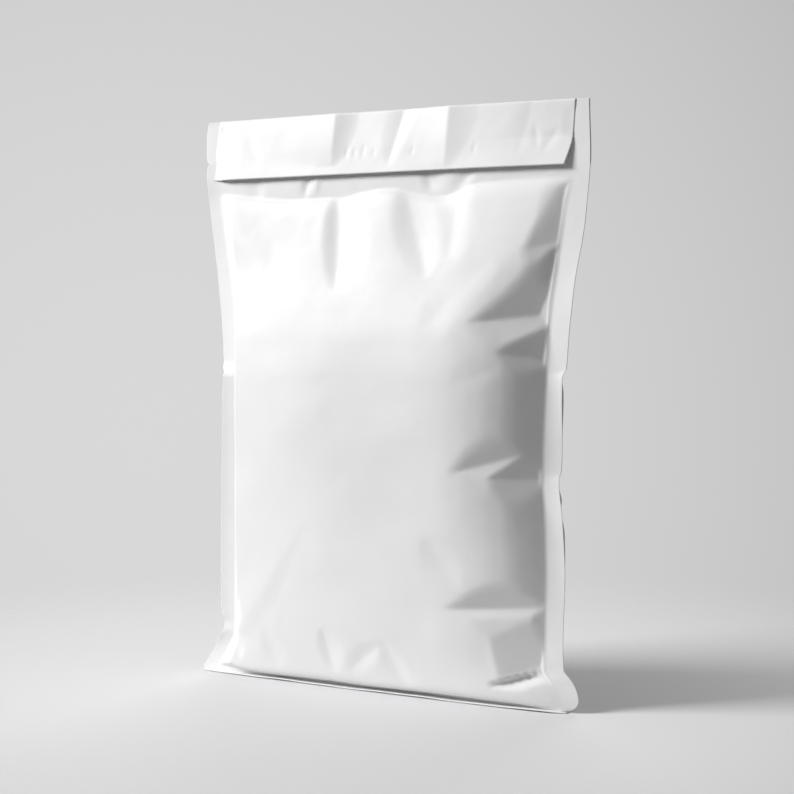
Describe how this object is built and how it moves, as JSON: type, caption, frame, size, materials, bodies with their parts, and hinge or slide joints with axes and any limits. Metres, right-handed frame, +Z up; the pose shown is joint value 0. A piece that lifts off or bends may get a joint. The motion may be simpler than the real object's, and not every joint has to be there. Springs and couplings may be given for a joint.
{
  "type": "poly mailer bag",
  "caption": "Filled white film mailer, sealed down both sides and along the bottom, closed by a glued fold-over flap, standing on its bottom seal",
  "frame": {"origin": "on the floor, under the middle of the bag's box", "axes": "+X across the bag towards its right seal seen from the front, the flap's side faces -Y, +Z up along the bag's height"},
  "size_m": [0.25, 0.0605, 0.3329],
  "materials": {
    "white_film": "opaque white polyethylene film, satin, softly creased and wrinkled, with heat-sealed edges"
  },
  "bodies": {
    "root": {"mailer_bag": "white_film"}
  },
  "joints": []
}
